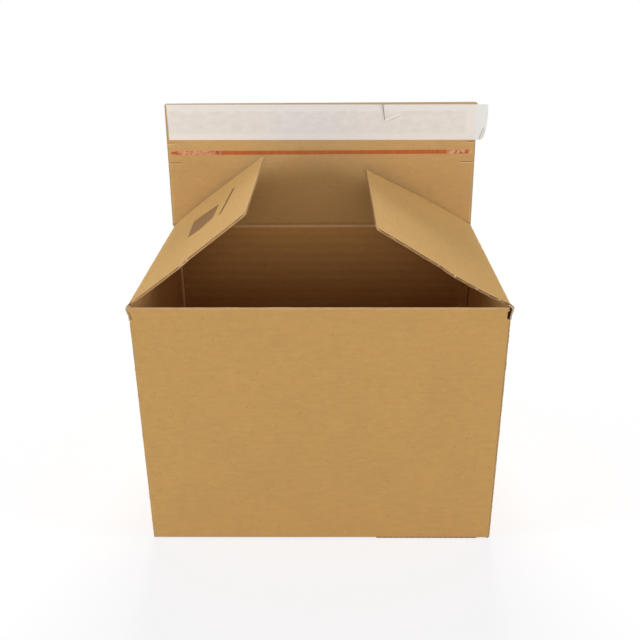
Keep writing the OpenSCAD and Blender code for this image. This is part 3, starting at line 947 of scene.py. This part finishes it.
def liner_crack(m, colour, along, down):
    """Painted shade along the crack from the top edge, and a painted highlight on the ridge that goes on
    from it, with a soft painted shadow below the ridge.
    """
    crack = m.minus(m.minus(along, 0.0615), m.times(down, 0.14375))
    torn = m.times(m.fall(m.math("ABSOLUTE", crack), 0.0002, 0.0007, 0.85), m.fall(down, 0.0145, 0.016))
    # painted shade in the crack
    colour = m.mix(torn, colour, rgb(146, 142, 136))
    slope = m.minus(down, 0.015)
    slope = m.scaled(m.minus(along, 0.065), 0.42, slope)
    ridge = m.times(m.ramp(along, 0.063, 0.065), m.fall(along, 0.078, 0.081))
    # painted highlight on the ridge, and painted shadow below it
    ridge_highlight = m.times(ridge, m.fall(m.math("ABSOLUTE", slope), 0.0003, 0.0011, 0.8))
    colour = m.mix(ridge_highlight, colour, rgb(253, 250, 246))
    under = m.times(ridge, m.fall(m.apart(slope, 0.0017), 0.0003, 0.001, 0.4))
    return m.mix(under, colour, rgb(206, 200, 192))


def liner_curl_painted_shade(m, colour, along, down):
    """Painted shade on the curled low corner of the pull end, with a darker painted shade line where it
    turns.
    """
    curl = m.minus(along, 0.1622)
    curl = m.scaled(m.minus(down, 0.0235), 0.362, curl)
    low = m.ramp(down, 0.021, 0.025)
    # painted shade on the curl and along its turn
    colour = m.mix(m.times(low, m.ramp(curl, 0.0, 0.0005, 0.0, 0.4)), colour, rgb(202, 205, 201))
    line = m.fall(m.math("ABSOLUTE", curl), 0.0002, 0.0009, 0.6)
    return m.mix(m.times(low, line), colour, rgb(166, 170, 166))


def tape_film():
    """Red-brown film, pale and blistered where it is loose; the paleness is partly the loose film's own and
    partly a painted reflection on the blisters.
    """
    m = Shading("tear tape film")
    along, across, _ = m.sheet()
    place = m.vector(along, across)
    mottle = m.noise(place, 5, 3.0, 0.6)
    bands = m.noise(m.vector(along, 0.0), 4, 2.0)
    blotch = m.ramp(m.noise(place, 2.4, 4.0, 0.7), 0.36, 0.56)
    loose_sheen_left = m.times(m.ramp(along, -0.147, -0.142), m.ramp(along, -0.114, -0.105, 1.0, 0.35))
    loose_sheen_left = m.times(m.times(loose_sheen_left, m.fall(along, -0.101, -0.1)), blotch)
    loose_sheen_right = m.times(m.ramp(along, 0.126, 0.129), m.ramp(mottle, 0.42, 0.52))
    dark_end = m.times(m.ramp(along, -0.108, -0.107), m.fall(along, -0.103, -0.101))
    film = m.mix(m.ramp(bands, 0.3, 0.7), rgb(184, 92, 38), rgb(196, 108, 50))
    film = m.mix(m.times(dark_end, m.ramp(bands, 0.45, 0.55)), film, rgb(140, 45, 25))
    # partly painted reflection on the loose, blistered film
    loose = m.times(m.math("MAXIMUM", loose_sheen_left, loose_sheen_right), 0.92)
    colour = m.mix(loose, film, rgb(228, 172, 138))
    return m.finish(colour, m.times(mottle, 0.06), roughness=0.5, specular=0.25)


def clear_glue():
    """Slightly cloudy adhesive film."""
    m = Shading("adhesive film")
    mottle = m.noise(m.flat_place(), 6, 3.0)
    colour = m.mix(m.ramp(mottle, 0.3, 0.7), rgb(198, 186, 164), rgb(214, 204, 184))
    return m.finish(colour, m.times(mottle, 0.1), roughness=0.3, specular=0.5)


def torn_paper():
    """Pale fibres of torn paper."""
    m = Shading("torn paper")
    fibres = m.noise(m.flat_place(), 0.6, 2.0)
    colour = m.mix(fibres, rgb(158, 142, 124), rgb(232, 212, 188))
    return m.finish(colour, m.times(fibres, 0.2), roughness=0.9, specular=0.2)


def print_ink():
    """Thin brown ink that lets the kraft paper's mottling through, darker on the bar."""
    m = Shading("brown ink")
    along, up, _ = m.sheet()
    place = m.vector(along, up)
    mottle = m.noise(place, 1.1, 3.0, 0.7)
    patches = m.noise(place, 9)
    pale = m.mix(m.ramp(mottle, 0.3, 0.72), rgb(132, 92, 54), rgb(162, 122, 76))
    dark = m.mix(m.ramp(mottle, 0.4, 0.6), rgb(92, 60, 34), rgb(150, 112, 70))
    colour = m.mix(m.ramp(up, 0.0835, 0.084), pale, dark)
    colour = m.brighten(colour, m.ramp(patches, 0.3, 0.7, 0.95, 1.05))
    return m.finish(colour, m.times(mottle, 0.03), roughness=0.8, specular=0.25)


# Studio

def camera():
    """Camera at the photograph's angle."""
    eye = (0.00856, -0.71197, 0.49925)
    pitch, yaw, roll = (math.radians(a) for a in (24.59, -0.76, -0.44))
    data = bpy.data.cameras.new("camera")
    data.sensor_fit = "HORIZONTAL"
    data.sensor_width = 36
    data.lens = 45.99
    data.clip_start = 0.01
    made = add_object("camera", data)
    turned = Matrix.Rotation(-yaw, 4, "Z") @ Matrix.Rotation(math.pi / 2 - pitch, 4, "X")
    made.matrix_world = Matrix.Translation(eye) @ turned @ Matrix.Rotation(roll, 4, "Z")
    bpy.context.scene.camera = made


def lamp(name, azimuth, elevation, size, power, colour):
    """Soft round lamp on a dome round the carton. Azimuth 0 is in front and 90 to the right."""
    middle = Vector((0, 0, 0.15))
    distance = 2.2
    turn, up = math.radians(azimuth), math.radians(elevation)
    way = Vector((math.sin(turn) * math.cos(up), -math.cos(turn) * math.cos(up), math.sin(up)))
    data = bpy.data.lights.new(name, "AREA")
    data.shape = "DISK"
    data.size = size
    data.energy = power
    data.color = colour
    made = add_object(name, data)
    made.location = middle + distance * way
    made.rotation_euler = way.to_track_quat("Z", "Y").to_euler()


def background_rays(nodes):
    """1 for what the camera, gloss and glass see of the surroundings."""
    seen = nodes.node("LightPath").outputs
    mirrored = nodes.math("MAXIMUM", seen["Is Glossy Ray"], seen["Is Transmission Ray"])
    return nodes.math("MAXIMUM", seen["Is Camera Ray"], mirrored)


def studio_floor():
    """Pale floor, softly shaded near the carton and white further away."""
    m = Shading("studio floor")
    m.look((0.65, 0.65, 0.65, 1), roughness=0.9, specular=0)
    place = m.node("TexCoord").outputs["Object"]
    distance = m.node("VectorMath", {0: place}, operation="LENGTH").outputs["Value"]
    white = m.node("Emission", {"Color": (1, 1, 1, 1), "Strength": 1.0}).outputs[0]
    glow = m.node("Emission", {"Color": (1, 1.02, 1.06, 1), "Strength": 0.66}).outputs[0]
    lit = m.node("BsdfDiffuse", {"Color": (0.42, 0.42, 0.42, 1)}).outputs[0]
    near = m.node("AddShader", {0: lit, 1: glow}).outputs[0]
    shown = m.node("MixShader", {0: m.ramp(distance, 0.3, 0.75), 1: near, 2: white}).outputs[0]
    pick = m.node("MixShader", {0: background_rays(m), 1: m.shader.outputs[0], 2: shown})
    m.put(m.tree.nodes["Material Output"].inputs["Surface"], pick.outputs[0])
    mesh = bpy.data.meshes.new("floor")
    mesh.from_pydata([(-4, -4, 0), (4, -4, 0), (4, 4, 0), (-4, 4, 0)], [], [(0, 1, 2, 3)])
    mesh.materials.append(m.material)
    floor = add_object("floor", mesh)


def surroundings():
    """Plain warm light from all round, which looks white to the camera."""
    world = bpy.data.worlds.new("surroundings")
    world.use_nodes = True
    bpy.context.scene.world = world
    nodes = Nodes(world.node_tree)
    looked_at = background_rays(nodes)
    level = nodes.node("MapRange", {"Value": looked_at, "To Min": 0.33, "To Max": 1.0})
    background = world.node_tree.nodes["Background"].inputs
    nodes.put(background["Strength"], level.outputs[0])
    nodes.put(background["Color"], nodes.mix(looked_at, FILL_LIGHT + (1,), (1, 1, 1, 1)))


def studio():
    """Floor, surroundings and five lamps."""
    studio_floor()
    surroundings()
    lamp("left", -77, 6, 0.8, 29.5, SIDE_LIGHT)
    lamp("right", 78, 6, 0.8, 28, SIDE_LIGHT)
    lamp("front", 0, 13, 0.9, 8.5, FILL_LIGHT)
    lamp("low front", 0, 1.5, 0.4, 1.5, SOFT_LIGHT)
    lamp("behind", 180, 32, 1.1, 26, SOFT_LIGHT)


# The carton

def flat_edge(u):
    """Share of its thickness that the left flap's front edge has lost."""
    return 0.52 + 0.06 * waves(u, 0, 9, 3)


def crushed_edge(u):
    """Share of its thickness that a cut flap edge has lost."""
    return 0.36 + 0.12 * waves(u, 0, 9, 3)


def lid_edge(u):
    """Share of its thickness that the lid's side edges have lost."""
    return 0.25 + 0 * u


def build_box(kraft):
    """Walls, tucked front flap and base."""
    walls = piece("walls", [wall_ring(), glue_lap()], kraft, "box")
    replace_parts(walls, "carton")
    front = [front_fold(), corner_lip(-1), corner_lip(1)]
    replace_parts(piece("front_fold", front, kraft, "box"), "carton")
    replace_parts(piece("base", base_boards(), kraft, "box"), "carton")


def build_side_flaps(kraft):
    """Both side flaps with their crease boards."""
    ends = (-HALF_D + FRONT_CUT - 0.5, HALF_D - REAR_CUT + 0.5)
    left = Flap("left_flap", -HALF_W, 0, 0, FLAP_LEN, ends, taper=6, tips=(1.9, 1.4),
                bellies=(-0.6, 1.4), crush=(flat_edge, crushed_edge), trims=(2.4, 1.0), free_crush=0.5)
    right = Flap("right_flap", HALF_W, 0, 180, FLAP_LEN, (-ends[0], -ends[1]), taper=6, tips=(1.1, -1.2),
                 bellies=(-2.0, 1.6), crush=(crushed_edge, crushed_edge), free_crush=0.4)
    for flap in (left, right):
        board = piece(flap.name + "_board", fluted_board(flap), kraft, flap.name, flap.place)
        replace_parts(board, flap.name)
        crease_strip(flap, kraft, flap.ends, flap.ends, 0.9)
    return left, right


def build_lid(kraft):
    """Lid with its slits and crease board."""
    ends = (-HALF_W - 0.5, HALF_W + 0.5)
    lid = Flap("lid", 0, HALF_D, -90, LID_LEN, ends, taper=0, tips=(0.9, 2.6), bellies=(0, 0),
               crush=(lid_edge, lid_edge))
    breaks = [TAPE_U + off + side * SLIT_HALF for off, _ in SLITS for side in (-1, 1)]
    slit_ends = [end for _, reach in SLITS for end in (reach, BOX_W - reach)]
    slits = fluted_board(lid, breaks, slit_ends, lid_slits)
    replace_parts(piece("lid_board", slits, kraft, "lid", lid.place), "lid")
    crease_strip(lid, kraft, (3 - HALF_W, HALF_W - 3), lid.ends, 1.5)
    return lid


def build_seal(lid):
    """Adhesive, release liner and tear tape on the lid."""
    seal = (
        ("adhesive_band", [adhesive_band(lid)], clear_glue(), "adhesive", "adhesive_strip"),
        ("liner", [liner_strip(lid)], liner_paper(), "liner_paper", "release_liner"),
        ("tape", [tape_strip(lid)], tape_film(), "tear_tape", "tear_tape"),
    )
    for name, shells, material, slot, node in seal:
        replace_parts(piece(name, shells, material, "lid", lid.place), node)


def build_details(left, right):
    """Torn fibres and tufts, and the print on the left flap."""
    torn = torn_paper()
    piece("corner_fray", [corner_fray(-1), corner_fray(1)], torn, "box")
    tufts = nicks(left, ((7.5, 0.9), (44, 0.8), (57.5, 2.2), (62.5, 1.2)))
    piece("left_nicks", tufts, torn, "left_flap", left.place)
    tufts = nicks(right, ((11, 0.9), (32, 1.1), (53, 1.0), (68, 0.9)))
    piece("right_nicks", tufts, torn, "right_flap", right.place)
    piece("flap_print", print_marks(left), print_ink(), "left_flap", left.place)


def build():
    """Makes every piece, and hides the imported parts that most of them replace."""
    kraft = kraft_board()
    build_box(kraft)
    left, right = build_side_flaps(kraft)
    build_seal(build_lid(kraft))
    build_details(left, right)


camera()
studio()
build()
bpy.context.scene.view_settings.view_transform = "Standard"
